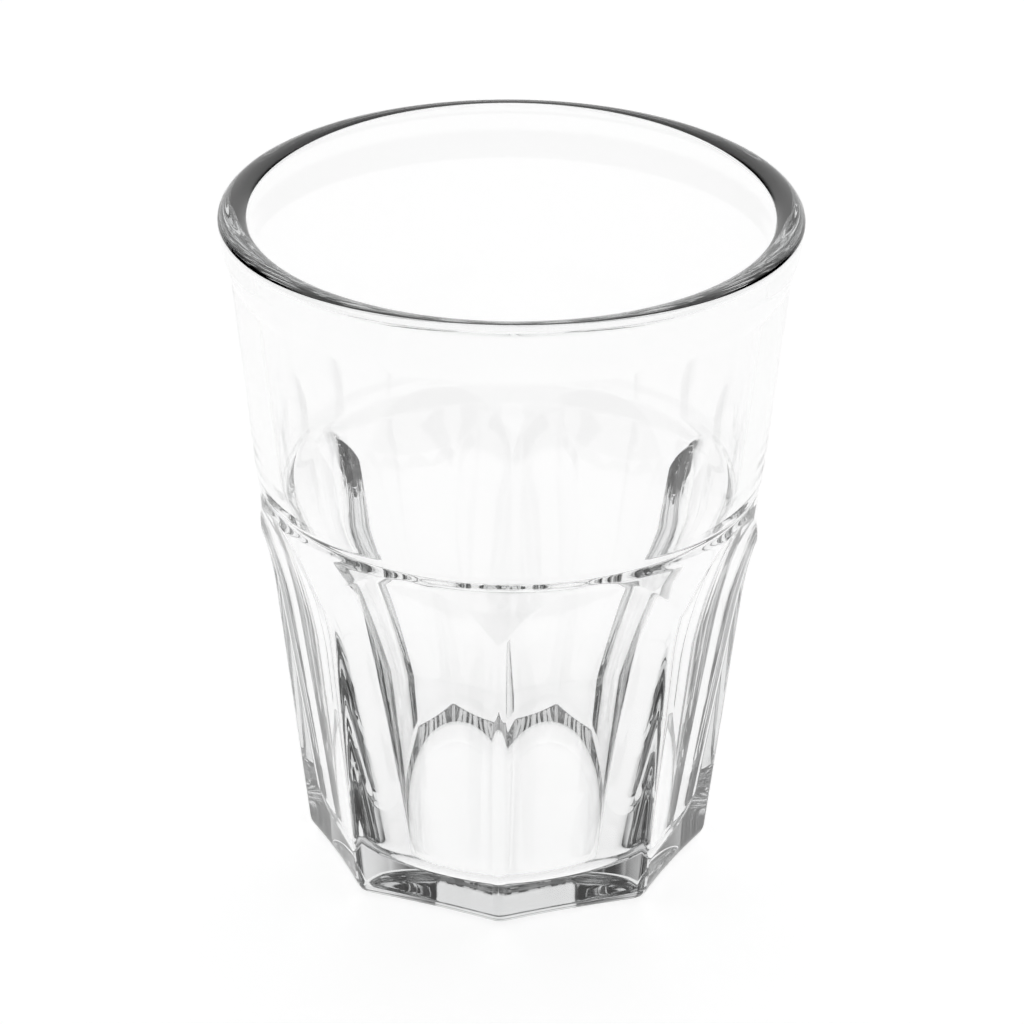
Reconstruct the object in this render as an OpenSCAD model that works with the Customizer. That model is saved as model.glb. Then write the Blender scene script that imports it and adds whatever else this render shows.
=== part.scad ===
// Clear plastic shot glass: a round lip and upper wall on a lower half with eight facets.
// The glass is one moulding. It is drawn in four zones that meet face to face along its own lines.
// Millimetres. The origin is the centre of the underside, +Z is up, and one ridge faces -Y.

/* [Overall] */
// Height of the glass from the table to the top of the lip
glass_h = 60; // [56:0.5:66]
// Diameter over the lip, the widest place
lip_d = 49.8; // [49:0.1:54]

/* [Lip] */
// Thickness of the rounded lip, outside to inside
lip_t = 2.5; // [2.2:0.1:3]
// Height of the thickened band that makes the lip
lip_h = 5.4; // [5:0.1:6]
// How far the lip stands out from the wall below it
lip_proud = 0.52; // [0.3:0.01:0.8]
// Height over which the lip swells out from the wall
lip_swell_h = 2.7; // [2.4:0.1:3]
// Height of the rounding over the top of the lip
lip_round_h = 0.8; // [0.6:0.05:1.2]

/* [Wall] */
// Lean of the plain wall, outside and inside, in degrees
wall_taper = 6.2; // [6:0.1:6.6]
// Height of the collar line, where the plain wall ends
collar_h = 36; // [35.5:0.5:37]
// Depth of the small ledge under the collar line
ledge_d = 0.2; // [0.1:0.05:0.3]
// Height of that ledge
ledge_h = 0.8; // [0.6:0.1:1]

/* [Cup] */
// Height of the shoulder inside the cup, measured at its upper edge
shoulder_z = 35.2; // [34.5:0.1:35.5]
// Height of the shoulder itself
shoulder_h = 1.8; // [1.4:0.1:2.2]
// How far the shoulder steps in from the line of the cup below it
shoulder_d = 0.3; // [0.1:0.05:0.4]
// Lean of the inside of the cup below the shoulder, in degrees
cup_taper = 13.2; // [12.5:0.1:13.6]

/* [Facets] */
// Number of facets
facet_count = 8; // [8:1:8]
// Distance across two opposite facets, measured at the table
across_flats = 31.9; // [31.6:0.1:32.1]
// Lean of the facets, in degrees
facet_taper = 6.7; // [6.5:0.1:6.8]
// Diameter over the blunt ridges between facets, measured at the table
across_ridges = 34.3; // [34:0.1:34.4]
// Lean of the ridges, in degrees
ridge_taper = 7.25; // [7.1:0.05:7.3]
// Height where a facet begins to curve out to the collar
runout_h = 25.5; // [25:0.5:26]
// Radius of that curve
runout_r = 34; // [32:0.5:36]
// Height where the ridges begin to widen towards the collar
ridge_h = 26.3; // [26.2:0.1:27]
// Height where they have widened into the spandrels under the collar
spandrel_h = 29.5; // [29:0.1:30]
// Lean of the spandrels, in degrees
spandrel_taper = 1; // [0.5:0.1:1.5]

/* [Base] */
// Thickness of the floor
floor_t = 2.3; // [2:0.1:4]
// Radius where the floor meets the side of the cup
floor_r = 2.5; // [2:0.1:3.5]
// Radius of the bottom edge
foot_r = 1.5; // [1:0.1:1.6]

/* [Hidden] */
$fn = 96;
clear = [0.90, 0.94, 0.95, 0.45];
arc_steps = 8;
// Past the outside of the glass, for the facet cutters
beyond = lip_d;
// The cutters reach this far under the table
under = 1;

lip_z = glass_h - lip_round_h;
lip_foot_z = glass_h - lip_h;
lip_mid_r = (lip_d - lip_t) / 2;
ledge_z = collar_h - ledge_h;
ledge_r = wall_r(ledge_z) - ledge_d;
// The run-out leaves the facet at a faint crease, in degrees
runout_crease = 2.5;
// A turned body starts and ends its turn here, away from every ridge and facet middle, in degrees
turn_start = 15;
// The base ends half-way round the curve between floor and cup
split_angle = -45;
floor_c = [cup_r(floor_t + floor_r) - floor_r / cos(cup_taper), floor_t + floor_r];
split_z = floor_c[1] + floor_r * sin(split_angle);

function wall_r(z) = lip_d / 2 - lip_proud - tan(wall_taper) * (lip_z - z);
function mouth_r(z) = lip_d / 2 - lip_t - tan(wall_taper) * (lip_z - z);
function cup_r(z) = mouth_r(shoulder_z) - shoulder_d - tan(cup_taper) * (shoulder_z - z);
function ridge_r(z) = across_ridges / 2 + tan(ridge_taper) * z;
function spandrel_r(z) = ledge_r - tan(spandrel_taper) * (ledge_z - z);
function facet_r(z) = across_flats / 2 + tan(facet_taper) * z;

// Points along an arc or an ellipse about c, from angle a0 to angle a1
function arc(c, rx, ry, a0, a1, steps = arc_steps) =
    [for (i = [0 : steps])
        let (a = a0 + (a1 - a0) * i / steps)
        c + [rx * cos(a), ry * sin(a)]];

// Rounded bottom edge of a wall that meets the table at radius r and leans by taper
function foot_arc(r, taper) =
    arc([r + foot_r * (tan(taper) - 1 / cos(taper)), foot_r], foot_r, foot_r, -90, -taper);

// The lip's outside swells from the wall in a smooth S
function swell(t) = t * t * (3 - 2 * t);
function lip_flank() =
    [for (i = [0 : arc_steps])
        let (t = i / arc_steps, z = lip_foot_z + lip_swell_h * t)
        [wall_r(z) + lip_proud * swell(t), z]];

// Section of one facet cutter: bottom edge and flat, then the run-out
module facet_section() {
    foot = foot_arc(facet_r(0), facet_taper);
    start = [facet_r(runout_h), runout_h];
    lean = facet_taper + runout_crease;
    centre = start + runout_r * [cos(lean), -sin(lean)];
    polygon(concat(
        [[foot[0][0], -under]],
        foot,
        [start, [beyond, runout_h], [beyond, -under]]));
    intersection() {
        translate(centre) circle(r = runout_r);
        translate([0, runout_h]) square([beyond, collar_h - runout_h]);
    }
}

// Cuts the facets from a turned body, with a ridge left at -Y
module faceted() {
    difference() {
        children();
        for (i = [0 : facet_count - 1])
            rotate([0, 0, -90 + (i + 0.5) * 360 / facet_count])
                rotate([90, 0, 0])
                    linear_extrude(height = beyond, center = true)
                        facet_section();
    }
}

// The drinking lip: a rounded band, thicker than the wall
module rim() {
    color(clear)
        rotate_extrude()
            polygon(concat(
                lip_flank(),
                arc([lip_mid_r, lip_z], lip_t / 2, lip_round_h, 0, 180, 2 * arc_steps),
                [[mouth_r(lip_foot_z), lip_foot_z]]));
}

// The plain round wall between the collar line and the lip
module upper_wall() {
    color(clear)
        rotate_extrude()
            polygon([
                [mouth_r(collar_h), collar_h],
                [wall_r(collar_h), collar_h],
                [wall_r(lip_foot_z), lip_foot_z],
                [mouth_r(lip_foot_z), lip_foot_z]]);
}

// The eight-sided wall with its ridges, run-outs, spandrels and the ledge under the collar
module faceted_wall() {
    color(clear)
        faceted()
            rotate([0, 0, turn_start])
                rotate_extrude()
                    polygon(concat(
                        arc(floor_c, floor_r, floor_r, split_angle, -cup_taper),
                        [[cup_r(shoulder_z - shoulder_h), shoulder_z - shoulder_h],
                         [mouth_r(shoulder_z), shoulder_z],
                         [mouth_r(collar_h), collar_h],
                         [wall_r(collar_h), collar_h],
                         [ledge_r, ledge_z],
                         [spandrel_r(spandrel_h), spandrel_h],
                         [ridge_r(ridge_h), ridge_h],
                         [ridge_r(split_z), split_z]]));
}

// The floor with the rounded bottom edge and the flat underside
module base() {
    color(clear)
        faceted()
            rotate([0, 0, turn_start])
                rotate_extrude()
                    polygon(concat(
                        [[0, 0]],
                        foot_arc(ridge_r(0), ridge_taper),
                        [[ridge_r(split_z), split_z]],
                        arc(floor_c, floor_r, floor_r, split_angle, -90),
                        [[0, floor_t]]));
}

rim();
upper_wall();
faceted_wall();
base();
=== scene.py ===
"""Clear plastic shot glass: the visual model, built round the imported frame.

The glass is one injection moulding of clear polycarbonate, so it is one closed mesh. Its section is
turned about the upright axis, and its lower part is pressed in to eight slightly hollow facets.
Lengths in the classes are millimetres, and Blender's are metres.
"""

from __future__ import annotations

import logging
import math
from dataclasses import dataclass
from enum import Enum
from typing import Any

import bmesh
import bpy
from mathutils import Matrix, Vector

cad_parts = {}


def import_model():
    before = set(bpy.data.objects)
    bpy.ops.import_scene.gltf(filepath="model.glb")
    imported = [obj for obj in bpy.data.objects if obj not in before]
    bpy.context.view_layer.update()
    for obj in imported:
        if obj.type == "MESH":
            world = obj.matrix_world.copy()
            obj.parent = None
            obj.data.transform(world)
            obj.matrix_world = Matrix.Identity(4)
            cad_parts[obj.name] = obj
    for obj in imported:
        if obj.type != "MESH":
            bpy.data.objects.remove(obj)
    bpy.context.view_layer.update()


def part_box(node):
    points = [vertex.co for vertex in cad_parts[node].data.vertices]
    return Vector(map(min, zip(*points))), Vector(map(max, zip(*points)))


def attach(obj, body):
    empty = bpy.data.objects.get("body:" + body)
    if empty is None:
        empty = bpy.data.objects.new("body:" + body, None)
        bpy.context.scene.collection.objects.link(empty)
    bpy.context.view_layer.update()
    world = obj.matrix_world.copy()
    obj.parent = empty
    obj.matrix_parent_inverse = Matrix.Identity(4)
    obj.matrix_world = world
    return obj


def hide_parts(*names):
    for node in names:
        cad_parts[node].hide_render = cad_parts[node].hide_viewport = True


LOG = logging.getLogger("shot_glass")
MM = 0.001
# Points closer than this are one point, in millimetres
MERGE = 0.001
# Share of a ring's spacing at which a stretch has its extra ring beside each end
GUARD = 0.08
# Halvings of the angle that find an arch's edge
EDGE_HALVINGS = 24
# Enough for light to cross every wall of the glass
LIGHT_BOUNCES = 32
# Light that is reflected inside a moulding fades, so it is dropped after this many reflections
INNER_REFLECTIONS = 10

Colour = tuple[float, float, float, float]


class Slot(Enum):
    """Material slots of the record."""

    CLEAR_PLASTIC = "clear_polycarbonate"


class Node(Enum):
    """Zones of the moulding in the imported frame."""

    RIM = "rim"
    UPPER_WALL = "upper_wall"
    FACETED_WALL = "faceted_wall"
    BASE = "base"


def linear_colour(hex_colour: str) -> Colour:
    """Turn an sRGB hex colour into linear light.

    Args:
        hex_colour: A colour such as "#f4f7f7".

    Returns:
        Linear red, green, blue and an alpha of 1.
    """
    channels = [int(hex_colour[i : i + 2], 16) / 255 for i in (1, 3, 5)]
    linear = [c / 12.92 if c <= 0.04045 else ((c + 0.055) / 1.055) ** 2.4 for c in channels]
    return (linear[0], linear[1], linear[2], 1.0)


def empty_tree(block: bpy.types.Material | bpy.types.World) -> bpy.types.NodeTree:
    """Switch a material or a world to nodes.

    Args:
        block: The new material or world.

    Returns:
        Its node tree, with no node in it.
    """
    block.use_nodes = True
    block.node_tree.nodes.clear()
    return block.node_tree


def add_node(
    tree: bpy.types.NodeTree,
    kind: str,
    inputs: dict[str | int, Any] | None = None,
    **settings: Any,
) -> bpy.types.Node:
    """Add a shader node with its settings and links.

    Args:
        tree: The node tree to add to.
        kind: The node's type name.
        inputs: Socket name or number to a value, or to an output socket to link from.
        **settings: The node's own properties.

    Returns:
        The new node.
    """
    node = tree.nodes.new(kind)
    for name, value in settings.items():
        setattr(node, name, value)
    for name, value in (inputs or {}).items():
        if isinstance(value, bpy.types.NodeSocket):
            tree.links.new(value, node.inputs[name])
        else:
            node.inputs[name].default_value = value
    return node


def blend(
    tree: bpy.types.NodeTree,
    by: bpy.types.NodeSocket,
    span: tuple[float, float],
    before: Colour | bpy.types.NodeSocket,
    after: Colour | bpy.types.NodeSocket,
) -> bpy.types.NodeSocket:
    """Change softly from one colour to another as a value rises.

    Args:
        tree: The node tree to add to.
        by: The value that rises.
        span: The values where the change begins and ends.
        before: The colour before the change.
        after: The colour after it.

    Returns:
        The blended colour's socket.
    """
    step = add_node(
        tree,
        "ShaderNodeMapRange",
        {"Value": by, "From Min": span[0], "From Max": span[1]},
        interpolation_type="SMOOTHSTEP",
    )
    # Sockets 6 and 7 are the two colours of this node, and output 2 is their mix
    mix = add_node(
        tree,
        "ShaderNodeMix",
        {"Factor": step.outputs["Result"], 6: before, 7: after},
        data_type="RGBA",
    )
    return mix.outputs[2]


def place_mesh(mesh: bmesh.types.BMesh, name: str) -> bpy.types.Object:
    """Make an object of a finished mesh and put it in the scene.

    Args:
        mesh: The mesh, which is freed.
        name: The object's name.

    Returns:
        The object, at the origin.
    """
    data = bpy.data.meshes.new(name)
    mesh.to_mesh(data)
    mesh.free()
    piece = bpy.data.objects.new(name, data)
    bpy.context.scene.collection.objects.link(piece)
    return piece


def soft_least(a: float, b: float, softness: float) -> float:
    """Take the lesser of two sizes, with a rounded change from one to the other.

    Args:
        a: One size.
        b: The other size.
        softness: How far apart the two are where the rounding begins.

    Returns:
        The lesser, a little less where the two are close.
    """
    near = max(0.0, softness - abs(a - b)) / softness
    return min(a, b) - near**2 * softness / 4


def ease(share: float) -> float:
    """Rise in a smooth S from 0 to 1.

    Args:
        share: How far along the rise is, held between 0 and 1.

    Returns:
        The risen share.
    """
    held = min(1.0, max(0.0, share))
    return held**2 * (3 - 2 * held)


def stretch(start: float, end: float, step: float) -> list[float]:
    """Space values evenly along a stretch, with a close pair at each end that keeps its shading true.

    Args:
        start: First value.
        end: Last value.
        step: Largest distance between two values.

    Returns:
        The values in order, with both ends.
    """
    count = max(1, math.ceil(abs(end - start) / step))
    values = [start + (end - start) * i / count for i in range(count + 1)]
    guard = (end - start) / count * GUARD
    return [values[0], values[0] + guard, *values[1:-1], values[-1] - guard, values[-1]]


@dataclass(frozen=True)
class ClearPolycarbonate:
    """Injection-moulded polycarbonate: water-clear and glossy.

    It bends light strongly, which gives the eye the dark lines at its edges and ridges.
    """

    tint: str = "#ffffff"
    ior: float = 1.585
    roughness: tuple[float, float] = (0.0, 0.02)
    body_tint: str = "#bcbebe"
    absorption_per_mm: float = 0.018
    ripple_size: float = 7.0
    ripple_detail: float = 1.0
    ripple_height: float = 0.004
    bloom_size: float = 14.0
    bloom_detail: float = 3.0

    def material(self) -> bpy.types.Material:
        """Make the material.

        Returns:
            A transmitting material with its numbers set on the shader.
        """
        material = bpy.data.materials.new("clear_moulded_polycarbonate")
        tree = empty_tree(material)
        place = add_node(tree, "ShaderNodeTexCoord").outputs["Object"]
        # The eye sees a faint ripple where the plastic flowed in the mould
        flow = add_node(
            tree,
            "ShaderNodeTexNoise",
            {"Vector": place, "Scale": 1 / (self.ripple_size * MM), "Detail": self.ripple_detail},
        )
        ripple = add_node(
            tree,
            "ShaderNodeBump",
            {"Height": flow.outputs["Fac"], "Strength": 1.0, "Distance": self.ripple_height * MM},
        )
        # Its high gloss is a little softer in places that are handled
        bloom = add_node(
            tree,
            "ShaderNodeTexNoise",
            {"Vector": place, "Scale": 1 / (self.bloom_size * MM), "Detail": self.bloom_detail},
        )
        gloss = add_node(
            tree,
            "ShaderNodeMapRange",
            {"Value": bloom.outputs["Fac"], "To Min": self.roughness[0], "To Max": self.roughness[1]},
        )
        shader = add_node(
            tree,
            "ShaderNodeBsdfPrincipled",
            {
                "Base Color": linear_colour(self.tint),
                "IOR": self.ior,
                "Roughness": gloss.outputs["Result"],
                "Transmission Weight": 1.0,
                "Normal": ripple.outputs["Normal"],
            },
        )
        # Where the light's way through it is long, it looks slightly grey
        depth = add_node(
            tree,
            "ShaderNodeVolumeAbsorption",
            {"Color": linear_colour(self.body_tint), "Density": self.absorption_per_mm / MM},
        )
        add_node(
            tree,
            "ShaderNodeOutputMaterial",
            {"Surface": shader.outputs["BSDF"], "Volume": depth.outputs["Volume"]},
        )
        return material


@dataclass(frozen=True)
class Rings:
    """Where the mesh's rings lie along the section.

    Spacings and the reach about the knee are millimetres, and counts are rings on a curve. The flat
    faces have theirs at shares of their radius, and the facets' begin at a share of the foot's rounding.
    """

    plain: float = 2.5
    facet: float = 2.0
    runout: float = 0.4
    fine: float = 0.12
    knee_reach: float = 3.0
    foot_count: int = 9
    swell_count: int = 20
    lip_count: int = 40
    floor_count: int = 16
    underside_shares: tuple[float, ...] = (0.0, 0.3, 0.6)
    floor_shares: tuple[float, ...] = (0.98, 0.6, 0.3, 0.0)
    facet_share: float = 1.1


@dataclass(frozen=True)
class Section:
    """The glass's upright section and the facets round it, all eight alike, in millimetres."""

    height: float
    lip_radius: float
    collar_height: float
    lip_thickness: float = 2.5
    lip_band: float = 5.4
    lip_swell: float = 2.7
    lip_proud: float = 0.52
    lip_round: float = 0.8
    wall_lean: float = math.radians(6.2)
    cavity_lean: float = math.radians(6.2)
    grip_lean: float = math.radians(13.2)
    knee_height: float = 35.2
    knee_softness: float = 0.4
    shoulder_depth: float = 0.3
    shoulder_height: float = 1.8
    facet_count: int = 8
    ridge_share: float = 0.12
    arch_widest: float = 0.86
    flat_radius: float = 15.8
    flat_lean: float = math.radians(6.39)
    flute_radius: float = 80.0
    ridge_softness: float = 0.7
    ledge_depth: float = 0.2
    ledge_height: float = 0.8
    spandrel_lean: float = math.radians(1.0)
    runout_height: float = 24.0
    runout_radius: float = 32.0
    arch_rise: float = 0.5
    arch_softness: float = 0.05
    arch_foot: float = 28.5
    floor_thickness: float = 2.3
    floor_round: float = 2.5
    foot_round: float = 1.5
    rings: Rings = Rings()

    @property
    def lip_height(self) -> float:
        """Height of the lip's widest place."""
        return self.height - self.lip_round

    @property
    def arch_top(self) -> float:
        """Height above which the outside is plain and round."""
        return self.collar_height + self.arch_rise

    @property
    def floor_top(self) -> float:
        """Height where the cup's straight side ends and the curve to the floor begins."""
        return self.floor_thickness + self.floor_round * (1 - math.sin(self.grip_lean))

    @property
    def half_pitch(self) -> float:
        """Angle from a ridge to the middle of a facet."""
        return math.pi / self.facet_count

    def wall(self, z: float) -> float:
        """Outer radius of the plain wall at a height."""
        return self.lip_radius - self.lip_proud - math.tan(self.wall_lean) * (self.lip_height - z)

    def cavity(self, z: float) -> float:
        """Inner radius of the cup, with a soft knee and a shallow shoulder where the plain wall ends.

        Args:
            z: Height above the table.

        Returns:
            The radius.
        """
        mouth = self.lip_radius - self.lip_thickness
        plain = mouth - math.tan(self.cavity_lean) * (self.lip_height - z)
        knee = mouth - math.tan(self.cavity_lean) * (self.lip_height - self.knee_height)
        grip = knee - math.tan(self.grip_lean) * (self.knee_height - z)
        shoulder = self.shoulder_depth * ease((self.knee_height - z) / self.shoulder_height)
        return soft_least(plain, grip, self.knee_softness) - shoulder

    def spandrel(self, z: float) -> float:
        """Radius of the round body that the facets are cut from.

        Args:
            z: Height above the table.

        Returns:
            The plain wall's radius, and below the ledge that of the steeper spandrels between facets.
        """
        foot = self.collar_height - self.ledge_height
        steep = self.wall(foot) - math.tan(self.spandrel_lean) * (foot - z)
        ledge = self.ledge_depth * ease((self.collar_height - z) / self.ledge_height)
        return max(self.wall(z), steep) - ledge

    def flat(self, z: float) -> float:
        """Distance of a facet's middle from the axis at a height.

        Args:
            z: Height above the table.

        Returns:
            The distance, with the rounded foot, the straight stretch and the run-out in turn.
        """
        lean = self.flat_lean
        foot = self.foot_round
        if z < foot * (1 - math.sin(lean)):
            centre = self.flat_radius + foot * (math.tan(lean) - 1 / math.cos(lean))
            return centre + math.sqrt(max(0.0, foot**2 - (foot - z) ** 2))
        if z <= self.runout_height:
            return self.flat_radius + math.tan(lean) * z
        radius = self.runout_radius
        centre_r = self.flat_radius + math.tan(lean) * self.runout_height + radius * math.cos(lean)
        centre_z = self.runout_height - radius * math.sin(lean)
        return centre_r - math.sqrt(radius**2 - (z - centre_z) ** 2)

    def flute(self, z: float, angle: float) -> float:
        """Radius of one hollow facet, which curves out a little to its sides.

        Args:
            z: Height above the table.
            angle: Angle from the facet's middle.

        Returns:
            The radius in that direction.
        """
        depth = self.flat(z)
        bend = 2 * depth * math.sin(angle) ** 2 / self.flute_radius
        return 2 * depth / (math.cos(angle) + math.sqrt(max(0.0, math.cos(angle) ** 2 - bend)))

    def faceted(self, z: float, angle: float) -> float:
        """Radius of the eight-sided body with rounded ridges.

        Args:
            z: Height above the table.
            angle: Angle round the axis, with ridges at multiples of the facets' pitch.

        Returns:
            The radius in that direction.
        """
        half = self.half_pitch
        off_ridge = (angle + half) % (2 * half) - half
        one_side = self.flute(z, half + off_ridge)
        other_side = self.flute(z, half - off_ridge)
        return soft_least(one_side, other_side, self.ridge_softness)

    def arch_edge(self, z: float) -> float:
        """Find the angle from a ridge to the edge of its arch, where the facet meets the round body.

        Args:
            z: Height above the table.

        Returns:
            The angle, or that of the ridge's rounding below the arches.
        """
        half = self.half_pitch
        low = 0.0
        high = half
        for _ in range(EDGE_HALVINGS):
            middle = (low + high) / 2
            if self.flute(z, half - middle) > self.spandrel(z):
                low = middle
            else:
                high = middle
        return min(self.arch_widest * half, max(self.ridge_share * half, low))

    def outside(self, z: float, angle: float) -> float:
        """Outer radius below the collar, with softened arches where facets meet the round body.

        Args:
            z: Height above the table.
            angle: Angle round the axis.

        Returns:
            The radius in that direction.
        """
        return soft_least(self.faceted(z, angle), self.spandrel(z), self.arch_softness)

    def outline(self) -> list[tuple[float, float]]:
        """Walk the section from the middle of the underside, up the outside and down into the cup.

        Returns:
            Radius and height of each point, with both ends on the axis.
        """
        points = [(self.flat_radius * share, 0.0) for share in self.rings.underside_shares]
        points += [(self.spandrel(z), z) for z in self.outer_levels()]
        points += self.lip_outline()
        points += [(self.cavity(z), z) for z in self.inner_levels()]
        points += self.floor_outline()
        return points

    def outer_levels(self) -> list[float]:
        """Give the heights of the rings on the outside up to the plain wall.

        Returns:
            Heights from the table up, close where the surface curves.
        """
        rings = self.rings
        turns = [math.pi / 2 * i / rings.foot_count for i in range(rings.foot_count)]
        levels = [self.foot_round * (1 - math.cos(turn)) for turn in turns]
        levels += stretch(self.foot_round * rings.facet_share, self.runout_height, rings.facet)
        levels += stretch(self.runout_height, self.arch_foot, rings.runout)[1:]
        levels += stretch(self.arch_foot, self.arch_top, rings.fine)[1:-1]
        return levels

    def inner_levels(self) -> list[float]:
        """Give the heights of the rings on the cup's side below the lip.

        Returns:
            Heights from the lip down, close round the knee and its shoulder.
        """
        rings = self.rings
        above = self.knee_height + rings.knee_reach
        below = self.knee_height - rings.knee_reach
        levels = stretch(self.lip_height, above, rings.plain)[1:]
        levels += stretch(above, below, rings.fine)[1:]
        levels += stretch(below, self.floor_top, rings.plain)[1:]
        return levels

    def lip_outline(self) -> list[tuple[float, float]]:
        """Walk the plain wall and the lip, from the collar over the top to the cup's side.

        Returns:
            Radius and height of each point.
        """
        rings = self.rings
        start = self.height - self.lip_band
        points = [(self.wall(z), z) for z in stretch(self.arch_top, start, rings.plain)]
        for i in range(1, rings.swell_count):
            z = start + (self.lip_height - start) * i / rings.swell_count
            points.append((self.wall(z) + self.lip_proud * ease((z - start) / self.lip_swell), z))
        half = self.lip_thickness / 2
        middle = self.lip_radius - half
        for i in range(rings.lip_count + 1):
            turn = math.pi * i / rings.lip_count
            z = self.lip_height + self.lip_round * math.sin(turn)
            points.append((middle + half * math.cos(turn), z))
        return points

    def floor_outline(self) -> list[tuple[float, float]]:
        """Walk the curve between the cup's side and its floor, and then the floor.

        Returns:
            Radius and height of each point, ending on the axis.
        """
        rings = self.rings
        centre_z = self.floor_thickness + self.floor_round
        centre_r = self.cavity(centre_z) - self.floor_round / math.cos(self.grip_lean)
        points = []
        for i in range(1, rings.floor_count + 1):
            turn = self.grip_lean + (math.pi / 2 - self.grip_lean) * i / rings.floor_count
            radius = centre_r + self.floor_round * math.cos(turn)
            points.append((radius, centre_z - self.floor_round * math.sin(turn)))
        points += [(centre_r * share, self.floor_thickness) for share in rings.floor_shares]
        return points


@dataclass
class ShotGlass:
    """The whole moulding: lip, wall, facets and floor in one closed mesh."""

    section: Section
    finish: ClearPolycarbonate
    steps_per_facet: int = 44
    crowding: float = 1.4

    def build(self) -> bpy.types.Object:
        """Turn one facet's share of the section, shape it, repeat it round and dress the glass.

        Returns:
            The finished glass.
        """
        mesh = bmesh.new()
        self.turn_share(mesh)
        self.press_facet(mesh)
        self.repeat_round(mesh)
        for face in mesh.faces:
            face.smooth = True
        glass = place_mesh(mesh, "glass_body")
        self.dress(glass)
        return glass

    @property
    def pitch(self) -> float:
        """Angle from one ridge to the next."""
        return 2 * self.section.half_pitch

    def turn_share(self, mesh: bmesh.types.BMesh) -> None:
        """Spin the section from the middle of one facet, over a ridge on +X, to the middle of the next.

        Args:
            mesh: The empty mesh to fill.
        """
        points = [mesh.verts.new((r * MM, 0, z * MM)) for r, z in self.section.outline()]
        edges = [mesh.edges.new(pair) for pair in zip(points, points[1:])]
        back = Matrix.Rotation(-self.pitch / 2, 3, "Z")
        bmesh.ops.rotate(mesh, verts=points, cent=(0, 0, 0), matrix=back)
        bmesh.ops.spin(
            mesh,
            geom=points + edges,
            cent=(0, 0, 0),
            axis=(0, 0, 1),
            angle=self.pitch,
            steps=self.steps_per_facet,
        )

    def press_facet(self, mesh: bmesh.types.BMesh) -> None:
        """Press the outside below the collar in to its facets, with the lines crowded at the edges.

        Args:
            mesh: One share of the turned glass.
        """
        section = self.section
        for vert in mesh.verts:
            z = vert.co.z / MM
            radius = vert.co.xy.length / MM
            if radius == 0:
                continue
            angle = math.atan2(vert.co.y, vert.co.x)
            # Past the middle of the wall, so on the outside
            if radius > (section.spandrel(z) + section.cavity(z)) / 2:
                share = angle / (self.pitch / 2)
                angle = math.copysign(self.crowd(abs(share), z), share)
                if z < section.arch_top:
                    radius = section.outside(z, angle)
            vert.co.xy = Vector((math.cos(angle), math.sin(angle))) * radius * MM

    def crowd(self, share: float, z: float) -> float:
        """Place a line of the mesh, so that lines crowd at the arch's edge and one follows it.

        Args:
            share: How far the line is from the ridge, from 0 to 1 at the facet's middle.
            z: Height above the table.

        Returns:
            The line's angle from the ridge.
        """
        half = self.pitch / 2
        section = self.section
        edge = section.arch_edge(min(z, section.arch_top))
        if z > section.arch_top:
            wall_height = section.lip_height - section.lip_band - section.arch_top
            fade = min(1.0, (z - section.arch_top) / wall_height)
            edge += (half / 2 - edge) * fade
        if share <= 0.5:
            return edge * (1 - (1 - 2 * share) ** self.crowding)
        return edge + (half - edge) * (2 * share - 1) ** self.crowding

    def repeat_round(self, mesh: bmesh.types.BMesh) -> None:
        """Copy the share round the axis and close the seams.

        Args:
            mesh: One finished share, which becomes the whole glass.
        """
        share = list(mesh.verts) + list(mesh.edges) + list(mesh.faces)
        for i in range(1, self.section.facet_count):
            copy = bmesh.ops.duplicate(mesh, geom=share)["geom"]
            verts = [part for part in copy if isinstance(part, bmesh.types.BMVert)]
            turn = Matrix.Rotation(self.pitch * i, 3, "Z")
            bmesh.ops.rotate(mesh, verts=verts, cent=(0, 0, 0), matrix=turn)
        bmesh.ops.remove_doubles(mesh, verts=mesh.verts, dist=MERGE * MM)
        bmesh.ops.recalc_face_normals(mesh, faces=mesh.faces)

    def dress(self, glass: bpy.types.Object) -> None:
        """Give the glass its finish and its place in the frame.

        Args:
            glass: The glass's object.
        """
        glass.data.materials.append(self.finish.material())
        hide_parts(*(node.value for node in Node))
        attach(glass, "root")


@dataclass(frozen=True)
class View:
    """The photograph's viewpoint: where the camera stands and what it aims at, in millimetres."""

    azimuth: float = math.radians(1.964)
    elevation: float = math.radians(25.88)
    distance: float = 600.0
    roll: float = math.radians(0.43)
    lens: float = 244.17
    sensor: float = 36.0
    nearest: float = 10.0
    aim_side: float = 0.234
    aim_height: float = 31.418

    def place(self) -> bpy.types.Object:
        """Make the camera and set it as the scene's own.

        Returns:
            The camera.
        """
        data = bpy.data.cameras.new("photo_view")
        data.lens = self.lens
        data.sensor_width = self.sensor
        data.clip_start = self.nearest * MM
        camera = bpy.data.objects.new("photo_view", data)
        bpy.context.scene.collection.objects.link(camera)
        back = Vector(
            (
                math.sin(self.azimuth) * math.cos(self.elevation),
                -math.cos(self.azimuth) * math.cos(self.elevation),
                math.sin(self.elevation),
            )
        )
        right = Vector((math.cos(self.azimuth), math.sin(self.azimuth), 0))
        aim = right * self.aim_side + Vector((0, 0, self.aim_height))
        turn = back.to_track_quat("Z", "Y").to_matrix().to_4x4() @ Matrix.Rotation(self.roll, 4, "Z")
        camera.matrix_world = Matrix.Translation((aim + back * self.distance) * MM) @ turn
        bpy.context.scene.camera = camera
        return camera


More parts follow.
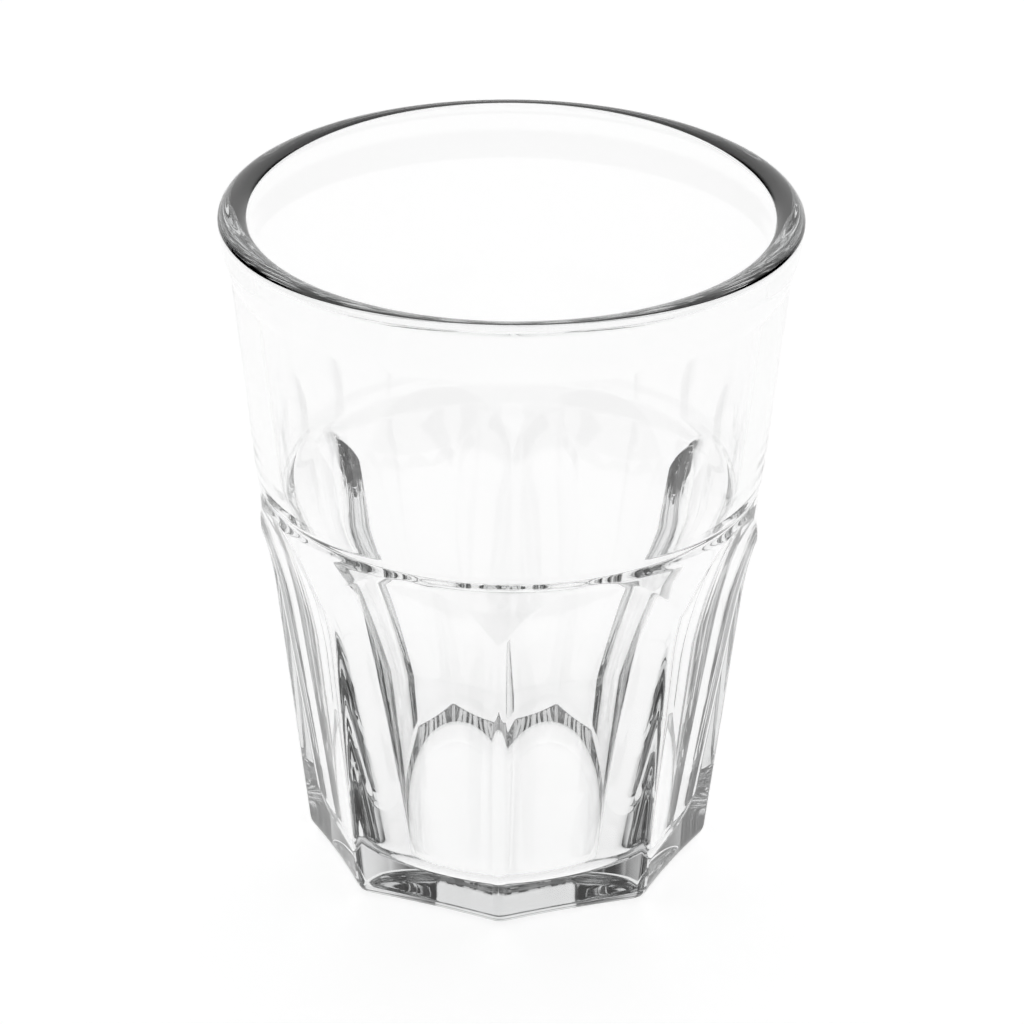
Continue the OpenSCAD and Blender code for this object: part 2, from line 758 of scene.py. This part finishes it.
@dataclass(frozen=True)
class Studio:
    """Plain studio: a white floor and backdrop, dark sides, a dark front and a pale ceiling.

    Clear plastic shows what is round it, so the dark sides and front are what draw its edges. Angles
    are heights above the horizon, and the other spans are shares of a direction's length.
    """

    floor_size: float = 20000.0
    floor_gap: float = 0.05
    floor_colour: str = "#bcbcbc"
    floor_glow: float = 0.76
    sweep_colour: str = "#ffffff"
    sweep_to: float = math.radians(2.5)
    backdrop_colour: str = "#f4f4f4"
    backdrop_from: float = math.radians(3.5)
    front_colour: str = "#000000"
    front_from: float = 0.2
    front_to: float = 0.6
    side_colour: str = "#000000"
    side_from: float = 0.45
    side_to: float = 0.7
    overhead_colour: str = "#dcdcdc"
    overhead_from: float = math.radians(38)
    overhead_to: float = math.radians(55)
    light: float = 1.1

    def build(self) -> None:
        """Make the floor and the surround."""
        self.floor()
        self.surround()

    def floor(self) -> None:
        """Lay a pale floor that glows to white and still takes a soft shadow."""
        mesh = bmesh.new()
        bmesh.ops.create_grid(mesh, x_segments=1, y_segments=1, size=self.floor_size * MM / 2)
        bmesh.ops.translate(mesh, verts=mesh.verts, vec=(0, 0, -self.floor_gap * MM))
        floor = place_mesh(mesh, "studio_floor")
        material = bpy.data.materials.new("pale_floor")
        tree = empty_tree(material)
        glow = add_node(tree, "ShaderNodeEmission", {"Strength": self.floor_glow}).outputs["Emission"]
        colour = linear_colour(self.floor_colour)
        matt = add_node(tree, "ShaderNodeBsdfDiffuse", {"Color": colour}).outputs["BSDF"]
        both = add_node(tree, "ShaderNodeAddShader", {0: matt, 1: glow})
        add_node(tree, "ShaderNodeOutputMaterial", {"Surface": both.outputs["Shader"]})
        floor.data.materials.append(material)

    def surround(self) -> None:
        """Light the scene from the backdrop and the ceiling, between dark sides and a dark front."""
        world = bpy.data.worlds.new("studio_surround")
        tree = empty_tree(world)
        place = add_node(tree, "ShaderNodeTexCoord")
        split = add_node(tree, "ShaderNodeSeparateXYZ", {"Vector": place.outputs["Generated"]})
        up = split.outputs["Z"]
        aside = add_node(tree, "ShaderNodeMath", {0: split.outputs["X"]}, operation="ABSOLUTE")
        # The camera stands on the -Y side, so the front is where -Y is high
        ahead = add_node(
            tree,
            "ShaderNodeMath",
            {0: split.outputs["Y"], 1: -1.0},
            operation="MULTIPLY",
        )
        colour = blend(
            tree,
            ahead.outputs["Value"],
            (self.front_from, self.front_to),
            linear_colour(self.backdrop_colour),
            linear_colour(self.front_colour),
        )
        colour = blend(
            tree,
            aside.outputs["Value"],
            (self.side_from, self.side_to),
            colour,
            linear_colour(self.side_colour),
        )
        ceiling = (math.sin(self.overhead_from), math.sin(self.overhead_to))
        colour = blend(tree, up, ceiling, colour, linear_colour(self.overhead_colour))
        horizon = (math.sin(self.sweep_to), math.sin(self.backdrop_from))
        colour = blend(tree, up, horizon, linear_colour(self.sweep_colour), colour)
        back = add_node(tree, "ShaderNodeBackground", {"Color": colour, "Strength": self.light})
        add_node(tree, "ShaderNodeOutputWorld", {"Surface": back.outputs["Background"]})
        bpy.context.scene.world = world


def set_light_paths() -> None:
    """Let light cross every wall of the glass, and keep the lines that it bends sharp."""
    paths = bpy.context.scene.cycles
    paths.max_bounces = LIGHT_BOUNCES
    paths.transmission_bounces = LIGHT_BOUNCES
    paths.glossy_bounces = INNER_REFLECTIONS
    paths.blur_glossy = 0.0


def main() -> None:
    """Build the glass, its studio and its camera."""
    logging.basicConfig(level=logging.INFO, format="%(name)s: %(message)s")
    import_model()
    _, rim_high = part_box(Node.RIM.value)
    wall_low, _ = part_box(Node.UPPER_WALL.value)
    section = Section(
        height=rim_high.z / MM,
        lip_radius=rim_high.x / MM,
        collar_height=wall_low.z / MM,
    )
    glass = ShotGlass(section, ClearPolycarbonate()).build()
    LOG.info("%s: %d faces", glass.name, len(glass.data.polygons))
    Studio().build()
    View().place()
    set_light_paths()
    bpy.context.scene.view_settings.view_transform = "Standard"


if __name__ == "__main__":
    main()
